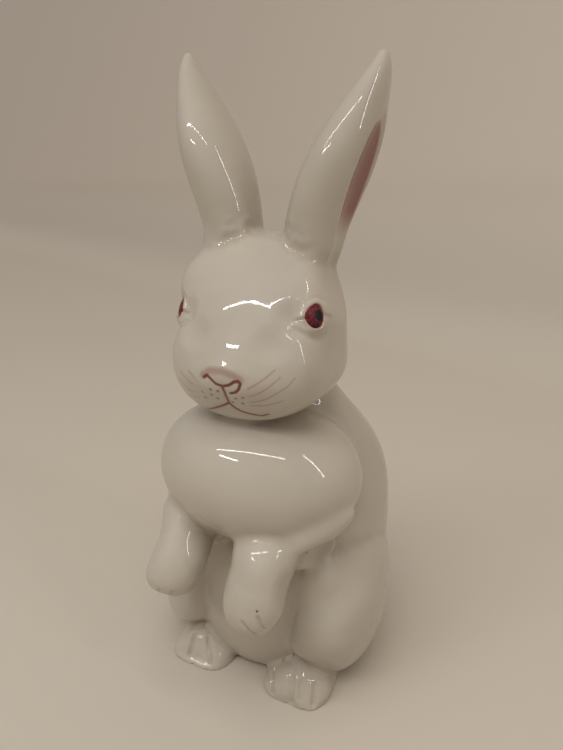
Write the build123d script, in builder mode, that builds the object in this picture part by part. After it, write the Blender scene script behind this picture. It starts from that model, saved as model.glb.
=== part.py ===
import os

from build123d import *

os.makedirs("parts", exist_ok=True)

# Sitting porcelain rabbit. It faces -Y, +Z is up, +X is the rabbit's own left.
# The origin lies on the resting plane, under the middle of the body.
# Lengths are in millimetres, turns in degrees, shares are parts of a named length.

# Belly and back: an egg standing on the floor
body_height = 166.0
body_half_width = 57.0
body_half_depth = 53.5
body_shift = 5.0
# height, middle, width, depth
body_ring_shares = (
    (0.000, 0.000, 0.76, 0.828),
    (0.048, -0.015, 0.88, 0.935),
    (0.190, -0.028, 0.98, 1.000),
    (0.390, 0.000, 1.00, 0.972),
    (0.590, 0.040, 0.96, 0.869),
    (0.740, 0.000, 0.82, 0.710),
    (0.880, -0.140, 0.54, 0.470),
    (0.950, -0.205, 0.40, 0.330),
    (1.000, -0.275, 0.22, 0.160),
)
body_hollow_share = 0.905
body_hollow_level_share = 0.40
foot_ring_width = 7.0
foot_ring_height = 1.5
drain_radius = 4.0
drain_back = 22.0

# Chest: a broad ball standing out in front
chest_height_share = 0.696
chest_reach_share = 0.645
chest_half_width = 52.0
chest_half_depth = 40.0
chest_half_height = 34.5
chest_hollow_share = 0.87
chest_hollow_drop = 3.0
# height, size
ball_ring_shares = (
    (-0.985, 0.18),
    (-0.850, 0.55),
    (-0.500, 0.88),
    (0.000, 1.00),
    (0.500, 0.88),
    (0.850, 0.55),
    (0.985, 0.18),
)

# Head: an egg lying from the nose to the nape
head_rise = 4.0
head_nape = 10.5
head_length = 83.0
head_half_width = 39.5
head_down = 26.0
head_up = 59.0
head_tilt = 3.0
# distance behind the nose, middle height, width, down, up, fullness of the jowl, fullness of the brow
head_ring_shares = (
    (0.000, 0.025, 0.07, 0.07, 0.03, 1.00, 1.00),
    (0.011, 0.020, 0.28, 0.19, 0.09, 1.00, 1.00),
    (0.045, 0.010, 0.50, 0.35, 0.20, 1.00, 1.00),
    (0.095, 0.000, 0.67, 0.56, 0.37, 1.05, 1.05),
    (0.155, 0.000, 0.81, 0.79, 0.53, 1.06, 1.02),
    (0.240, 0.000, 0.91, 0.87, 0.71, 1.06, 0.97),
    (0.360, 0.005, 0.98, 0.80, 0.88, 1.14, 1.25),
    (0.540, 0.020, 0.98, 0.74, 0.98, 1.20, 1.44),
    (0.740, 0.055, 0.86, 0.70, 0.86, 1.08, 1.28),
    (0.890, 0.120, 0.61, 0.58, 0.55, 1.00, 1.10),
    (0.970, 0.190, 0.31, 0.36, 0.26, 1.00, 1.00),
    (1.000, 0.220, 0.08, 0.10, 0.06, 1.00, 1.00),
)
head_hollow_share = 0.875
neck_bore_radius = 11.0
neck_bore_reach = 16.0

# Ears: thick leaves rising from the crown and leaning outwards
ear_root_rise = 30.0
ear_root_side = 12.0
ear_root_reach = 27.0
ear_sweep_back = 8.0
ear_half_thickness = 15.5
ear_half_width = 19.5
left_ear_height = 100.5
left_ear_lean = 31.0
right_ear_height = 105.0
right_ear_lean = 36.5
# height, lean, thickness, width
ear_ring_shares = (
    (0.00, 0.00, 0.74, 0.66),
    (0.25, 0.23, 0.88, 0.76),
    (0.45, 0.40, 0.97, 0.96),
    (0.62, 0.59, 0.92, 1.00),
    (0.78, 0.78, 0.65, 0.78),
    (0.91, 0.94, 0.36, 0.44),
    (1.00, 1.00, 0.11, 0.12),
)
# size of the hollow at the same heights, from the root up
ear_hollow_shares = (0.20, 0.58, 0.82, 0.80, 0.30)
ear_hollow_shift_share = 1.50
ear_hollow_turn = 12.0

# Forelegs: short limbs hanging from the chest
foreleg_top_drop = 17.5
foreleg_top_reach = 16.5
left_foreleg_length = 50.0
right_foreleg_length = 46.0
foreleg_lean = 38.0
left_foreleg_side = 18.0
right_foreleg_side = 26.5
foreleg_half_width = 15.0
foreleg_half_depth = 14.0
claw_gap = 1.2
claw_gap_count = 2
claw_spacing_share = 0.56
claw_gap_depth_share = 0.90
claw_gap_length_share = 0.30
# distance down the limb, size
foreleg_ring_shares = (
    (0.00, 0.84),
    (0.25, 1.00),
    (0.55, 1.00),
    (0.80, 0.90),
    (0.94, 0.65),
    (1.00, 0.26),
)
elbow_side_share = 0.475
elbow_reach = 7.5
elbow_drop = 31.5
elbow_half_width = 18.5
elbow_half_depth = 14.0
elbow_half_height = 12.0

# Haunches: eggs lying against the flanks
haunch_height_share = 0.25
haunch_half_height_share = 0.244
haunch_side_share = 0.728
haunch_half_width_share = 0.42
haunch_reach_share = 0.187
haunch_half_depth_share = 0.73
# height, size, forward shift, inward shift
haunch_ring_shares = (
    (-0.985, 0.24, 0.02, 0.06),
    (-0.860, 0.59, 0.05, 0.08),
    (-0.700, 0.78, 0.08, 0.10),
    (-0.450, 0.96, 0.12, 0.11),
    (-0.150, 1.00, 0.11, 0.06),
    (0.200, 0.98, 0.06, 0.02),
    (0.550, 0.84, -0.01, -0.03),
    (0.850, 0.54, -0.05, -0.05),
    (0.985, 0.18, -0.06, -0.05),
)

# Hind feet: low rounded pads with toes
left_foot_side_share = 0.52
right_foot_side_share = 0.46
foot_front_share = 1.065
foot_length = 42.0
foot_half_width = 17.5
foot_height = 13.0
foot_sole_drop = 8.0
toe_gap = 1.3
toe_gap_depth_share = 0.90
toe_gap_length_share = 0.30
toe_gap_count = 3
toe_spacing_share = 0.48
# distance behind the toes, width, height
foot_ring_shares = (
    (0.00, 0.45, 0.30),
    (0.08, 0.82, 0.70),
    (0.25, 1.00, 0.95),
    (0.60, 1.00, 1.00),
    (1.00, 0.90, 0.90),
)

# Tail
tail_height = 24.0
tail_back_share = 0.953
tail_radius = 13.0

# Eyes: oval glass domes in sockets, framed by lids
eye_side_share = 0.8025
eye_reach_share = 0.717
eye_height_share = 0.4305
eye_turn = 50.0
eye_rise = 20.0
eye_half_width = 4.7
eye_half_height = 5.7
eye_thickness = 6.0
eye_clearance = 0.1
socket_depth_share = 0.65
# height above the eye plane as a share of the thickness, size
eye_ring_shares = (
    (-0.62, 1.00),
    (-0.12, 1.00),
    (0.12, 0.90),
    (0.28, 0.68),
    (0.36, 0.36),
    (0.38, 0.10),
)
lid_rise = 1.2
# height as a share of the rise, size as a share of the eye
lid_ring_shares = (
    (-5.00, 1.56),
    (-1.00, 1.44),
    (0.30, 1.31),
    (1.00, 1.14),
    (1.05, 0.92),
)


# Places that follow from the sizes
head_height = body_height + head_rise
chest_height = body_height * chest_height_share
chest_reach = body_half_depth * chest_reach_share
haunch_half_width = body_half_width * haunch_half_width_share
haunch_half_depth = body_half_depth * haunch_half_depth_share

# Outlines

quarter_bow_share = 0.5523


def egg(plane, half_width, low, high, low_fullness=1, high_fullness=1):
    """Smooth closed outline that reaches half_width to both sides and low and high along the other axis."""
    low_bow = quarter_bow_share * low_fullness
    high_bow = quarter_bow_share * high_fullness
    with BuildSketch(plane) as outline:
        with BuildLine():
            Bezier((half_width, 0), (half_width, high * high_bow), (half_width * high_bow, high), (0, high))
            Bezier((0, high), (-half_width * high_bow, high), (-half_width, high * high_bow), (-half_width, 0))
            Bezier((-half_width, 0), (-half_width, -low * low_bow), (-half_width * low_bow, -low), (0, -low))
            Bezier((0, -low), (half_width * low_bow, -low), (half_width, -low * low_bow), (half_width, 0))
        make_face()
    return outline.sketch


head_pose = Location((0, 0, head_height), (0, -head_tilt, 0)) * Location((0, 0, -head_height))


def tilted(plane):
    """Plane of the upright head carried along by the tilt of the head."""
    return Plane(head_pose * plane.location)


def level(x, y, z):
    """Horizontal plane through a point."""
    return Plane(origin=(x, y, z), x_dir=(1, 0, 0), z_dir=(0, 0, 1))


def upright(x, y, z):
    """Upright plane through a point, seen from the front."""
    return Plane(origin=(x, y, z), x_dir=(1, 0, 0), z_dir=(0, -1, 0))


def body_outlines(share):
    """Level outlines of belly and back, shrunk towards the hollow's centre by a share."""
    centre = body_height * body_hollow_level_share
    return [
        egg(
            level(
                0,
                body_shift + body_half_depth * middle * share,
                centre + (body_height * height - centre) * share,
            ),
            body_half_width * width * share,
            body_half_depth * depth * share,
            body_half_depth * depth * share,
        )
        for height, middle, width, depth in body_ring_shares
    ]


def ball_outlines(centre, half_width, half_depth, half_height):
    """Level outlines of a rounded mass about a centre."""
    return [
        egg(
            level(centre.X, centre.Y, centre.Z + half_height * height),
            half_width * size,
            half_depth * size,
            half_depth * size,
        )
        for height, size in ball_ring_shares
    ]


def head_outlines(share):
    """Upright outlines of the head from nose to nape, shrunk towards its centre by a share."""
    middle_y = head_nape - head_length / 2
    middle_z = head_height + (head_up - head_down) / 2
    return [
        egg(
            tilted(
                upright(
                    0,
                    middle_y + (head_nape - head_length * (1 - behind) - middle_y) * share,
                    middle_z + (head_height + head_up * middle - middle_z) * share,
                )
            ),
            head_half_width * width * share,
            head_down * down * share,
            head_up * up * share,
            jowl,
            brow,
        )
        for behind, middle, width, down, up, jowl, brow in head_ring_shares
    ]


def chest_outlines(share, drop=0):
    """Level outlines of the chest, shrunk towards its centre by a share and lowered by a drop."""
    return ball_outlines(
        Vector(0, -chest_reach, chest_height - drop),
        chest_half_width * share,
        chest_half_depth * share,
        chest_half_height * share,
    )


def eye_outlines(side, rings, clearance=0):
    """Oval outlines of an eye, one above the other along its line of sight, side being 1 or -1."""
    sight = tilted(
        Plane(
            origin=(
                side * head_half_width * eye_side_share,
                head_nape - head_length * eye_reach_share,
                head_height + head_up * eye_height_share,
            ),
            x_dir=Vector(1, 0, 0).rotate(Axis.Z, side * eye_turn),
            z_dir=Vector(0, -1, 0).rotate(Axis.X, -eye_rise).rotate(Axis.Z, side * eye_turn),
        )
    )
    return [
        egg(
            sight.offset(rise),
            eye_half_width * size + clearance,
            eye_half_height * size + clearance,
            eye_half_height * size + clearance,
        )
        for rise, size in rings
    ]


def foot_outlines(side, share):
    """Upright outlines of a hind foot from the toes to the heel, shrunk towards its middle by a share."""
    front = body_half_depth * foot_front_share
    return [
        egg(
            upright(side, -front + foot_length * (0.5 + (behind - 0.5) * share), 0),
            foot_half_width * width * share,
            foot_sole_drop * height * share,
            foot_height * height * share,
        )
        for behind, width, height in foot_ring_shares
    ]


def foreleg_outlines(path, length, share):
    """Outlines of a foreleg from the chest down to the paw, shrunk by a share."""
    return [
        egg(
            path.offset(length * down * share),
            foreleg_half_width * size * share,
            foreleg_half_depth * size * share,
            foreleg_half_depth * size * share,
        )
        for down, size in foreleg_ring_shares
    ]


# Full shapes that the hollow pieces and their neighbours are cut from
glass_rings = [(eye_thickness * rise, size) for rise, size in eye_ring_shares]
socket_rings = [(-eye_thickness * socket_depth_share, 1), (eye_thickness * socket_depth_share, 1)]
lid_rings = [(lid_rise * rise, size) for rise, size in lid_ring_shares]

with BuildPart() as body:
    loft(body_outlines(1))
    loft(chest_outlines(1))

with BuildPart() as skull:
    loft(head_outlines(1))
    for side in (1, -1):
        loft(eye_outlines(side, lid_rings))

# Torso: hollow casting with a seat for the head, a foot ring and a drain hole
with BuildPart() as torso:
    add(body.part)
    add(skull.part, mode=Mode.SUBTRACT)
    loft(body_outlines(body_hollow_share), mode=Mode.SUBTRACT)
    loft(chest_outlines(chest_hollow_share, chest_hollow_drop), mode=Mode.SUBTRACT)
    base_width, base_depth = body_ring_shares[0][2:]
    add(
        egg(
            level(0, body_shift, 0),
            body_half_width * base_width - foot_ring_width,
            body_half_depth * base_depth - foot_ring_width,
            body_half_depth * base_depth - foot_ring_width,
        )
    )
    extrude(amount=foot_ring_height, mode=Mode.SUBTRACT)
    with Locations((0, drain_back, 0)):
        Cylinder(
            drain_radius,
            body_height * body_hollow_level_share,
            align=(Align.CENTER, Align.CENTER, Align.MIN),
            mode=Mode.SUBTRACT,
        )

torso.part.label = "torso"
export_step(torso.part, "parts/torso.step")

# Head: hollow casting with eye sockets and a bore down to the torso's hollow
with BuildPart() as head:
    add(skull.part)
    loft(head_outlines(head_hollow_share), mode=Mode.SUBTRACT)
    for side in (1, -1):
        loft(eye_outlines(side, socket_rings, eye_clearance), mode=Mode.SUBTRACT)
    with Locations((0, -neck_bore_reach, head_height - head_down)):
        Cylinder(
            neck_bore_radius,
            head_down,
            align=(Align.CENTER, Align.CENTER, Align.MIN),
            mode=Mode.SUBTRACT,
        )

head.part.label = "head"
export_step(head.part, "parts/head.step")

# Eyes
for name, side in (("left_eye", 1), ("right_eye", -1)):
    with BuildPart() as eye:
        loft(eye_outlines(side, glass_rings))
    eye.part.label = name
    export_step(eye.part, f"parts/{name}.step")


# Ears
def ear_leaf(height_reach, lean_reach):
    """Left ear with its hollow side turned outwards, its root inside the crown."""
    with BuildPart() as leaf:
        loft(
            [
                egg(
                    level(
                        ear_root_side + lean_reach * lean,
                        -ear_root_reach + ear_sweep_back * lean,
                        head_height + ear_root_rise + height_reach * height,
                    ),
                    ear_half_thickness * thickness,
                    ear_half_width * width,
                    ear_half_width * width,
                )
                for height, lean, thickness, width in ear_ring_shares
            ]
        )
        loft(
            [
                egg(
                    level(
                        ear_root_side + lean_reach * lean + ear_half_thickness * thickness * ear_hollow_shift_share,
                        -ear_root_reach + ear_sweep_back * lean,
                        head_height + ear_root_rise + height_reach * height,
                    ).rotated((0, 0, -ear_hollow_turn)),
                    ear_half_thickness * size,
                    ear_half_width * size,
                    ear_half_width * size,
                )
                for (height, lean, thickness, width), size in zip(ear_ring_shares, ear_hollow_shares)
            ],
            mode=Mode.SUBTRACT,
        )
    return leaf.part


with BuildPart() as left_ear:
    add(ear_leaf(left_ear_height, left_ear_lean))
    add(skull.part, mode=Mode.SUBTRACT)

left_ear.part.label = "left_ear"
export_step(left_ear.part, "parts/left_ear.step")

with BuildPart() as right_ear:
    mirror(ear_leaf(right_ear_height, right_ear_lean), about=Plane.YZ)
    add(skull.part, mode=Mode.SUBTRACT)

right_ear.part.label = "right_ear"
export_step(right_ear.part, "parts/right_ear.step")

# Haunches
with BuildPart() as thigh:
    loft(
        [
            egg(
                level(
                    body_half_width * haunch_side_share - haunch_half_width * inward,
                    -body_half_depth * haunch_reach_share - haunch_half_depth * forward,
                    body_height * (haunch_height_share + haunch_half_height_share * height),
                ),
                haunch_half_width * size,
                haunch_half_depth * size,
                haunch_half_depth * size,
            )
            for height, size, forward, inward in haunch_ring_shares
        ]
    )

with BuildPart() as left_haunch:
    add(thigh.part)
    add(body.part, mode=Mode.SUBTRACT)

left_haunch.part.label = "left_haunch"
export_step(left_haunch.part, "parts/left_haunch.step")

with BuildPart() as right_haunch:
    mirror(thigh.part, about=Plane.YZ)
    add(body.part, mode=Mode.SUBTRACT)

right_haunch.part.label = "right_haunch"
export_step(right_haunch.part, "parts/right_haunch.step")


# Forelegs
def foreleg(side, length):
    """Left foreleg with its elbow and gaps between the claws, its top inside the chest."""
    top = Vector(side, -chest_reach - foreleg_top_reach, chest_height - foreleg_top_drop)
    path = Plane(
        origin=top,
        x_dir=(1, 0, 0),
        z_dir=Vector(0, 0, -1).rotate(Axis.X, -foreleg_lean),
    )
    with BuildPart() as gaps:
        with Locations(path.offset(length)):
            with GridLocations(foreleg_half_width * claw_spacing_share, length, claw_gap_count, 1):
                Box(claw_gap, foreleg_half_depth * 2, length * claw_gap_length_share * 2)
        loft(foreleg_outlines(path, length, claw_gap_depth_share), mode=Mode.SUBTRACT)
    with BuildPart() as limb:
        loft(foreleg_outlines(path, length, 1))
        add(gaps.part, mode=Mode.SUBTRACT)
        loft(
            ball_outlines(
                Vector(body_half_width * elbow_side_share, -chest_reach - elbow_reach, chest_height - elbow_drop),
                elbow_half_width,
                elbow_half_depth,
                elbow_half_height,
            )
        )
    return limb.part


with BuildPart() as left_foreleg:
    add(foreleg(left_foreleg_side, left_foreleg_length))
    add(body.part, mode=Mode.SUBTRACT)
    add(left_haunch.part, mode=Mode.SUBTRACT)

left_foreleg.part.label = "left_foreleg"
export_step(left_foreleg.part, "parts/left_foreleg.step")

with BuildPart() as right_foreleg:
    mirror(foreleg(right_foreleg_side, right_foreleg_length), about=Plane.YZ)
    add(body.part, mode=Mode.SUBTRACT)
    add(right_haunch.part, mode=Mode.SUBTRACT)

right_foreleg.part.label = "right_foreleg"
export_step(right_foreleg.part, "parts/right_foreleg.step")


# Hind feet
def hind_foot(side):
    """Left hind foot with gaps between the toes, its heel inside the body."""
    with BuildPart() as gaps:
        with Locations((side, -body_half_depth * foot_front_share, 0)):
            with GridLocations(foot_half_width * toe_spacing_share, foot_length, toe_gap_count, 1):
                Box(toe_gap, foot_length * toe_gap_length_share * 2, foot_height * 2)
        loft(foot_outlines(side, toe_gap_depth_share), mode=Mode.SUBTRACT)
    with BuildPart() as foot:
        loft(foot_outlines(side, 1))
        split(bisect_by=Plane.XY, keep=Keep.TOP)
        add(gaps.part, mode=Mode.SUBTRACT)
    return foot.part


with BuildPart() as left_hind_foot:
    add(hind_foot(body_half_width * left_foot_side_share))
    add(body.part, mode=Mode.SUBTRACT)
    add(left_haunch.part, mode=Mode.SUBTRACT)

left_hind_foot.part.label = "left_hind_foot"
export_step(left_hind_foot.part, "parts/left_hind_foot.step")

with BuildPart() as right_hind_foot:
    mirror(hind_foot(body_half_width * right_foot_side_share), about=Plane.YZ)
    add(body.part, mode=Mode.SUBTRACT)
    add(right_haunch.part, mode=Mode.SUBTRACT)

right_hind_foot.part.label = "right_hind_foot"
export_step(right_hind_foot.part, "parts/right_hind_foot.step")

# Tail
with BuildPart() as tail:
    with Locations((0, body_shift + body_half_depth * tail_back_share, tail_height)):
        Sphere(tail_radius)
    add(body.part, mode=Mode.SUBTRACT)

tail.part.label = "tail"
export_step(tail.part, "parts/tail.step")
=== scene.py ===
import math

import bmesh
import bpy
import numpy as np
from mathutils import Matrix, Vector, noise
from mathutils.bvhtree import BVHTree
from mathutils.kdtree import KDTree


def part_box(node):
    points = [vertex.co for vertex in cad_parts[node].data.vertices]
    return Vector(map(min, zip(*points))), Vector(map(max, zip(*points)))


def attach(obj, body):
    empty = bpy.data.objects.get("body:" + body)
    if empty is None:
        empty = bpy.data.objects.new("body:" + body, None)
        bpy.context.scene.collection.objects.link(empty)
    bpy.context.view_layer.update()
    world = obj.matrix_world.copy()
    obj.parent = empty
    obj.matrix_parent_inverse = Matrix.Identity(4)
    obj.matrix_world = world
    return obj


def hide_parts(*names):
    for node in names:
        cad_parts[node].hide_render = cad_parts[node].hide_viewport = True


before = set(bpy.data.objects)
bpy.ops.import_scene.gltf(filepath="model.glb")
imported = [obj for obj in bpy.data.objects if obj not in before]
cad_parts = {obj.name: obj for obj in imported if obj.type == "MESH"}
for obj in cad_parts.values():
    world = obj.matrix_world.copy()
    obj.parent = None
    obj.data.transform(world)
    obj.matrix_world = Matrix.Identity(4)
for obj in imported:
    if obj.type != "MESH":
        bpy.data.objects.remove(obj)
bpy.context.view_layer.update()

bl_info = {
    "name": "Sitting rabbit figurine",
    "version": (1, 0, 0),
    "blender": (4, 5, 0),
    "location": "3D View > Sidebar > Figurine",
    "description": "Glazes, paints and lights a porcelain rabbit around its packed frame",
    "category": "Add Mesh",
}

FORM_NAME = "fired_form"
MM = 0.001

CLAY_NODES = (
    "torso", "head", "left_ear", "right_ear", "left_foreleg", "right_foreleg",
    "left_haunch", "right_haunch", "left_hind_foot", "right_hind_foot", "tail",
)
EYE_NODES = {1.0: "left_eye", -1.0: "right_eye"}

# Where the fans behind the joints run to: a point inside the head, and the body's middle below the neck
HEAD_CORE = Vector((0.0, -0.025, 0.190))
NECK_HEIGHT = 0.155
BODY_CORE_REACH = 0.005

# Turns of an eye, in degrees: with the head's lean, outwards and upwards
EYE_LEAN, EYE_TURN, EYE_TILT = -3.0, 50.0, -20.0

# The eye seen straight on, in millimetres across and up from the glass's middle, outer corner to the right
LID_OPENING = (
    (1.7, 4.8), (3.0, 4.2), (3.8, 2.9), (4.0, 1.2), (3.8, -1.0), (3.1, -3.2),
    (2.2, -4.6), (1.0, -5.3), (-0.5, -5.4), (-1.9, -4.9), (-3.1, -3.9), (-4.1, -2.3),
    (-4.5, -0.8), (-4.2, 0.9), (-3.3, 2.2), (-1.8, 3.5), (0.0, 4.4),
)
INNER_CORNER = ((-4.6, -0.8), (-7.8, -0.9))
OUTER_CORNER = ((3.9, -0.2), (9.3, -0.6))
LOWER_LID = ((-8.2, -2.9), (-5.3, -5.3), (-1.0, -7.0), (2.5, -5.7), (5.6, -2.9))
UNDER_LID = ((-9.5, -5.0), (-5.0, -8.4), (0.0, -9.6), (5.0, -7.6))
UPPER_FOLD = ((-6.0, 2.2), (-3.6, 4.9), (0.0, 7.0), (3.2, 7.4), (6.0, 5.9))

# The plug in the drain hole, in millimetres
DRAIN_PLACE, PLUG_RADIUS, PLUG_DEPTH = (0.0, 22.0, 9.0), 7.0, 4.0

# Clay pressed into the joints before the skin closes: both ends and the half width, in millimetres
ADDED_CLAY = (
    ((27.0, -60.0, 93.0), (48.0, -42.0, 107.0), 9.0),
    ((36.0, -34.0, 46.0), (38.0, -36.0, 72.0), 13.0),
    ((-35.0, -34.0, 46.0), (-37.0, -35.0, 70.0), 10.0),
)

# Strokes that shift the soft clay: place, reach, and how far the middle of the stroke moves, in millimetres
STROKES = (
    ((-30.0, -42.0, 209.0), 24.0, (-4.6, -2.0, 0.3)),
    ((34.0, -30.0, 208.0), 19.0, (-3.2, 0.0, 0.0)),
    ((37.0, -42.0, 180.0), 20.0, (-1.5, 0.0, 0.0)),
    ((24.0, -51.0, 205.5), 13.0, (0.3, -0.6, 0.4)),
    ((24.0, -56.5, 195.5), 10.0, (-1.1, 1.0, -0.6)),
    ((-26.5, -57.0, 193.4), 9.0, (1.3, 1.1, -0.6)),
    ((19.0, -63.0, 186.0), 10.0, (-0.5, 1.2, -0.5)),
    ((-17.0, -63.0, 186.0), 10.0, (0.5, 1.2, -0.5)),
    ((31.0, -57.0, 176.0), 14.0, (0.9, -0.9, 0.0)),
    ((-31.0, -57.0, 176.0), 14.0, (-0.4, -0.9, 0.0)),
    ((3.0, -71.0, 181.0), 16.0, (0.0, -1.0, 0.2)),
    ((13.0, -68.0, 92.0), 14.0, (-2.6, -0.6, 0.0)),
    ((21.0, -73.0, 90.0), 14.0, (0.0, -2.2, 1.0)),
    ((34.0, -68.0, 77.0), 13.0, (-3.2, 0.0, 0.0)),
    ((41.0, -50.0, 84.0), 15.0, (-4.0, 9.0, 4.0)),
    ((44.0, -37.0, 74.0), 17.0, (-1.5, -4.5, 3.0)),
    ((43.0, -50.0, 22.0), 20.0, (0.0, 1.5, 4.0)),
    ((-46.0, -50.0, 33.0), 22.0, (6.0, 3.0, 2.0)),
    ((-28.0, -46.0, 11.0), 14.0, (0.0, 0.0, 2.5)),
    ((-25.0, -57.0, 5.0), 16.0, (1.0, 3.0, 0.0)),
    ((30.0, -50.0, 12.0), 16.0, (0.0, -1.0, 4.0)),
    ((46.0, -46.0, 9.0), 12.0, (2.0, -0.5, 1.5)),
    ((-38.0, -72.0, 84.0), 20.0, (3.6, 0.8, 0.0)),
    ((-10.0, -66.0, 94.0), 18.0, (-3.4, 0.0, 0.0)),
)

# Places where the clay is smoothed over with a wet sponge: place and reach, in millimetres
SPONGED = (
    ((38.0, -50.0, 95.0), 22.0),
    ((38.0, -42.0, 62.0), 22.0),
    ((-38.0, -42.0, 58.0), 22.0),
    ((44.0, -48.0, 24.0), 18.0),
    ((-40.0, -50.0, 28.0), 18.0),
)

# Places where the luted joint stays lumpy: place, reach and height, in millimetres
LUMPS = (
    ((14.0, -34.0, 224.0), 16.0, 1.1),
    ((-14.0, -34.0, 224.0), 16.0, 1.1),
    ((-12.0, -62.0, 104.0), 16.0, 0.8),
)

# Where the skin is worked finer, in millimetres in front of the middle and above the base
FACE_START, FACE_TOP = 38.0, 212.0
PAW_START, PAW_TOP = 60.0, 84.0
TOES_START = 44.0

# The photograph's frame in pixels, and the width in millimetres of the sensor behind the lens
PHOTO_SIZE = (563, 750)
SENSOR_WIDTH = 36.0

# Toe and claw grooves that the photograph shows: line in its pixels, half width and depth in millimetres
SEEN_GROOVES = {
    "left_hind_foot": (
        (((275.6, 658.6), (273.8, 669), (272.6, 679.7), (272.3, 687), (272.2, 693)), 1.1, 1.5),
        (((297.4, 662), (295, 669), (292.3, 683.7), (291, 695.6), (290.8, 703)), 1.7, 1.2),
        (((303.3, 672.4), (300.5, 687.3), (300, 699)), 1.6, 0.8),
        (((314.4, 670), (315.5, 682), (314.6, 695), (313.5, 704)), 1.7, 1.2),
    ),
    "right_hind_foot": (
        (((196.4, 630), (193.8, 636), (191.5, 645.6), (189.4, 654.2)), 1.3, 1.4),
        (((210.4, 633.8), (208.5, 639.7), (209, 651.5), (210.3, 661)), 1.4, 1.4),
    ),
    "left_foreleg": (
        (((256, 614.4), (259, 620), (262, 626.7), (264.4, 630)), 0.9, 0.9),
        (((240, 619), (244.4, 626.7), (250, 632), (255.6, 635)), 0.9, 0.8),
    ),
}

# Claw grooves under the far paw, out of the camera's sight: line, half width and depth in millimetres
HIDDEN_GROOVES = {
    "right_foreleg": (
        (((-24.8, -84.7, 69.0), (-26.0, -84.0, 66.0), (-26.8, -81.5, 63.5)), 0.8, 0.7),
        (((-19.4, -82.8, 68.5), (-20.5, -82.0, 65.0), (-21.0, -79.5, 62.8)), 0.8, 0.7),
    ),
}

IRON_FLECK = (257, 611.4)

# The pink of the ears, in millimetres: how high it starts on each side and how softly, and its width
HOLLOW_ROOTS = {1.0: 226.0, -1.0: 240.0}
HOLLOW_FADE = 14.0
HOLLOW_MIDDLE, HOLLOW_HALF_WIDTH = -24.0, 10.0

# Widths of the brush lines, in millimetres
NOSTRIL_WIDTH, PHILTRUM_WIDTH, MOUTH_WIDTH, WHISKER_WIDTH = 1.44, 1.2, 1.36, 1.0

# Painted marks of the face, in pixels of the photograph
NOSTRIL_LINE = (
    (204, 377), (207, 375), (211, 378.6), (216, 383.4), (223, 386), (229, 385),
    (234, 382), (238, 381.5), (240.3, 384), (239, 389), (236, 392), (231, 393),
)
MOUTH_MIDDLE = (229, 403)
PHILTRUM_LINE = ((222, 386), (224.6, 392), (227, 398), MOUTH_MIDDLE)
MOUTH_LINES = (
    (MOUTH_MIDDLE, (222, 406), (215, 408), (208, 409)),
    (MOUTH_MIDDLE, (235, 408), (243, 412), (252, 414.4), (262, 416), (268, 414.5)),
)
FRECKLES = (
    (203, 391), (211, 389), (212, 394), (206, 397), (218, 391), (218, 398),
    (236, 398), (243, 397), (243, 403), (233, 402),
)
WHISKERS = (
    ((248, 389), (257, 384), (267, 377), (275, 370)),
    ((250, 396), (261, 392.5), (271, 385.5), (280.5, 377.5)),
    ((250, 402), (264, 400), (276, 394), (287.5, 387), (295, 378)),
    ((250, 405), (263, 406), (273, 404), (283, 401)),
    ((189, 371), (194, 377), (199, 382)),
    ((181, 371), (189.5, 382), (199, 386)),
    ((180, 379), (188, 389), (199, 392)),
    ((187, 394), (192, 396), (198, 397)),
)
NOSE_PATCH = ((203, 375), (210, 370), (222, 371), (233, 375.6), (240.2, 380.3))

# Strip lamps: name, both ends and width in metres, and power in watts; they all face one place
STRIP_LAMPS = (
    ("long_strip", (-0.62, -0.60, 0.78), (0.45, -0.60, 1.10), 0.02, 2.0),
    ("short_strip", (-0.434, -0.587, 0.589), (-0.223, -0.703, 0.649), 0.025, 0.6),
    ("side_strip", (1.10, -0.25, 0.50), (0.60, -0.20, 1.05), 0.02, 1.1),
)
LAMP_AIM = (0.0, -0.03, 0.16)

# The ceiling's soft light: turn and spread in degrees, and strength, then the strength of the air around
CEILING_TURN, CEILING_SPREAD, CEILING_STRENGTH = (22.0, 0.0, -6.0), 50.0, 1.12
AIR_STRENGTH = 0.27

# The paper sweep, in metres: width, depth and shift to the camera, backdrop height and reach of the bend
SWEEP_WIDTH, SWEEP_DEPTH, SWEEP_SHIFT = 8.0, 4.0, -1.15
BACKDROP_HEIGHT, BEND_REACH = 3.5, 0.28

# Places where the face swells or sinks: place, reach and height in millimetres
FACE_DABS = (
    ((9.0, -71.0, 163.5), 10.0, 0.5),
    ((-9.0, -71.0, 163.5), 10.0, 0.5),
    ((0.0, -73.0, 172.0), 9.0, 0.4),
)

class FigurineSizes(bpy.types.PropertyGroup):
    clay_grain: bpy.props.FloatProperty(
        name="Clay grain",
        description="Edge length of the skin before fine places are divided further",
        default=0.8 * MM,
        min=0.4 * MM,
        precision=5,
        unit="LENGTH",
    )
    joint_fill: bpy.props.FloatProperty(
        name="Joint fill",
        description="The most that glaze and slip fill a crease between two masses",
        default=3.0 * MM,
        min=0.0,
        precision=5,
        unit="LENGTH",
    )
    joint_rounds: bpy.props.IntProperty(
        name="Joint rounds",
        description="Rounds of softening that set how wide a crease is filled",
        default=80,
        min=1,
    )
    # Reach of the pooled glaze and of the painted shade along the joints
    pool_and_shade_reach: bpy.props.FloatProperty(
        name="Pool reach",
        description="How far from a joint the glaze looks gathered",
        default=5.0 * MM,
        min=0.0,
        precision=5,
        unit="LENGTH",
    )


def colour_choice(name, description, default):
    """A colour that the panel offers."""
    return bpy.props.FloatVectorProperty(
        name=name, description=description, subtype="COLOR", default=default, min=0.0, max=1.0
    )


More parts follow.
